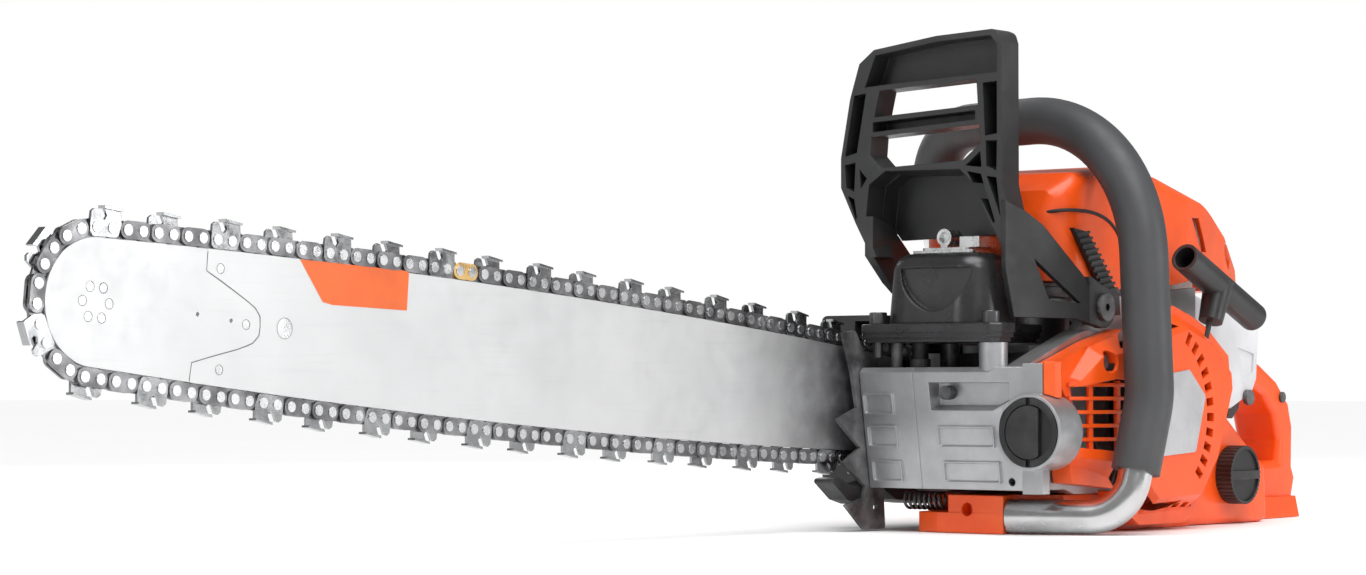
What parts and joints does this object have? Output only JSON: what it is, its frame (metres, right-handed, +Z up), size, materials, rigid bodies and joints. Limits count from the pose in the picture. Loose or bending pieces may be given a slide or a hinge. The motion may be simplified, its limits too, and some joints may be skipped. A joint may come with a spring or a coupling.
{
  "type": "petrol chainsaw",
  "caption": "Petrol chainsaw with a long sprocket-nose guide bar and saw chain, two-stroke power head, tilting hand guard, wrap-round front handle, rear D handle and pull starter.",
  "frame": {"origin": "on the ground under the crank axis, in the flat underside of the tank unit's forward arm", "axes": "+X forward towards the bar nose, +Y to the operator's left (starter side), +Z up"},
  "size_m": [1.022, 0.2232, 0.298],
  "materials": {
    "orange_plastic": "satin moulded",
    "grey_plastic": "fine grain",
    "black_plastic": "matte",
    "soft_grip": "satin soft-touch",
    "magnesium": "die-cast, painted silver",
    "bar_paint": "satin",
    "chain_steel": "dark tempered",
    "chain_chrome": "hard chrome",
    "gold_steel": "gold coloured",
    "bright_steel": "bright",
    "black_steel": "black phosphated",
    "exhaust_black": "heat-proof satin black",
    "cast_alloy": "as cast",
    "tube_alloy": "brushed",
    "light_panel": "satin",
    "badge_silver": "satin",
    "boot_rubber": "matte",
    "filter_felt": "felt",
    "rope_fibre": "braided",
    "spring_steel": "blackened"
  },
  "bodies": {
    "powerhead": {"guide_bar": "bar_paint", "bar_nose": "bar_paint", "bar_rivets": "bright_steel", "nose_sprocket": "bright_steel", "drive_links": "chain_steel", "tie_straps": "chain_steel", "preset_strap": "gold_steel", "cutters_left": "chain_chrome", "cutters_right": "chain_chrome", "chain_rivets": "bright_steel", "clutch_drum": "bright_steel", "brake_band": "bright_steel", "crankcase_right": "magnesium", "crankcase_left": "magnesium", "cylinder": "cast_alloy", "spark_plug": "boot_rubber", "muffler": "exhaust_black", "muffler_flange": "exhaust_black", "exhaust_stubs": "bright_steel", "spark_arrestor": "bright_steel", "oil_pump": "cast_alloy", "bumper_inner": "black_steel", "bumper_outer": "black_steel", "clutch_cover": "grey_plastic", "bar_studs": "bright_steel", "chain_catcher": "black_plastic", "starter_cover": "orange_plastic", "starter_badge": "badge_silver", "recoil_spring": "spring_steel", "ignition_module": "black_plastic", "cylinder_cover": "orange_plastic", "air_filter": "filter_felt", "carburettor": "cast_alloy", "intake_boot": "boot_rubber", "rear_panel": "light_panel", "tank_handle": "orange_plastic", "pivot_pins": "black_steel", "handle_tube": "tube_alloy", "handle_grip": "soft_grip", "av_spring": "spring_steel", "case_screws": "black_steel"},
    "crank": {"crankshaft": "bright_steel", "flywheel": "cast_alloy", "clutch_hub": "bright_steel"},
    "piston_rod": {"piston": "cast_alloy", "rod_pins": "bright_steel", "connecting_rod": "bright_steel"},
    "front_guard": {"hand_guard": "grey_plastic"},
    "rope_pulley": {"starter_pulley": "black_plastic"},
    "pull_handle": {"starter_handle": "grey_plastic", "starter_rope": "rope_fibre"},
    "fuel_filler_cap": {"fuel_cap": "black_plastic"},
    "oil_filler_cap": {"oil_cap": "black_plastic"},
    "oil_flip_tab": {"oil_cap_tab": "black_plastic"},
    "trigger": {"throttle_trigger": "black_plastic"},
    "trigger_lock": {"throttle_lock": "black_plastic"},
    "start_stop_lever": {"stop_lever": "black_plastic"},
    "throttle_valve": {"throttle_plate": "bright_steel"},
    "decompression_button": {"decompression_valve": "bright_steel"},
    "latch": {"cover_latch": "black_plastic"}
  },
  "joints": [
    {"name": "guard_tilt", "type": "hinge", "parent": "powerhead", "child": "front_guard", "pos_m": [0.035, 0, 0.134], "axis": [0, 1, 0], "range_deg": [0, 12]},
    {"name": "crank_turn", "type": "hinge", "parent": "powerhead", "child": "crank", "pos_m": [0, 0, 0.07], "axis": [0, 1, 0], "continuous": true},
    {"name": "piston_stroke", "type": "slide", "parent": "powerhead", "child": "piston_rod", "axis": [0, 0, 1], "range_m": [-0.036, 0]},
    {"name": "starter_pull", "type": "slide", "parent": "powerhead", "child": "pull_handle", "axis": [-0.39, 0, 0.9208], "range_m": [0, 0.085], "stiffness_N_per_m": 20, "springref_m": -0.3},
    {"name": "pulley_turn", "type": "hinge", "parent": "powerhead", "child": "rope_pulley", "pos_m": [0, 0.065, 0.07], "axis": [0, 1, 0], "range_deg": [-2, 112]},
    {"name": "fuel_cap_turn", "type": "hinge", "parent": "powerhead", "child": "fuel_filler_cap", "pos_m": [-0.13, 0.053, 0.031], "axis": [0, 1, 0], "continuous": true},
    {"name": "oil_cap_turn", "type": "hinge", "parent": "powerhead", "child": "oil_filler_cap", "pos_m": [0.108, 0.0565, 0.06], "axis": [1, 0, 0], "continuous": true},
    {"name": "oil_tab_flip", "type": "hinge", "parent": "oil_filler_cap", "child": "oil_flip_tab", "pos_m": [0.1154, 0.0635, 0.06], "axis": [0, 0, 1], "range_deg": [0, 80]},
    {"name": "trigger_squeeze", "type": "hinge", "parent": "powerhead", "child": "trigger", "pos_m": [-0.192, 0, 0.0905], "axis": [0, 1, 0], "range_deg": [0, 14], "stiffness_Nm_per_rad": 0.15, "springref_deg": -22.92},
    {"name": "throttle_open", "type": "hinge", "parent": "powerhead", "child": "throttle_valve", "pos_m": [-0.086, -0.022, 0.146], "axis": [0, 1, 0], "range_deg": [-1, 68]},
    {"name": "lock_press", "type": "hinge", "parent": "powerhead", "child": "trigger_lock", "pos_m": [-0.177, 0, 0.105], "axis": [0, -1, 0], "range_deg": [0, 4.5], "stiffness_Nm_per_rad": 0.15, "springref_deg": -22.92},
    {"name": "stop_lever_turn", "type": "hinge", "parent": "powerhead", "child": "start_stop_lever", "pos_m": [-0.152, 0.02, 0.1], "axis": [0, 1, 0], "range_deg": [0, 30]},
    {"name": "decompression_press", "type": "slide", "parent": "powerhead", "child": "decompression_button", "axis": [0, 0, -1], "range_m": [0, 0.004], "stiffness_N_per_m": 400, "springref_m": -0.002},
    {"name": "latch_open", "type": "hinge", "parent": "powerhead", "child": "latch", "pos_m": [0.0115, 0.049, 0.131], "axis": [-1, 0, 0], "range_deg": [0, 12]}
  ],
  "couplings": [
    {"joint": "pulley_turn", "follows": "starter_pull", "rad_per_m": 22.222},
    {"joint": "throttle_open", "follows": "trigger_squeeze", "ratio": 4.7}
  ]
}
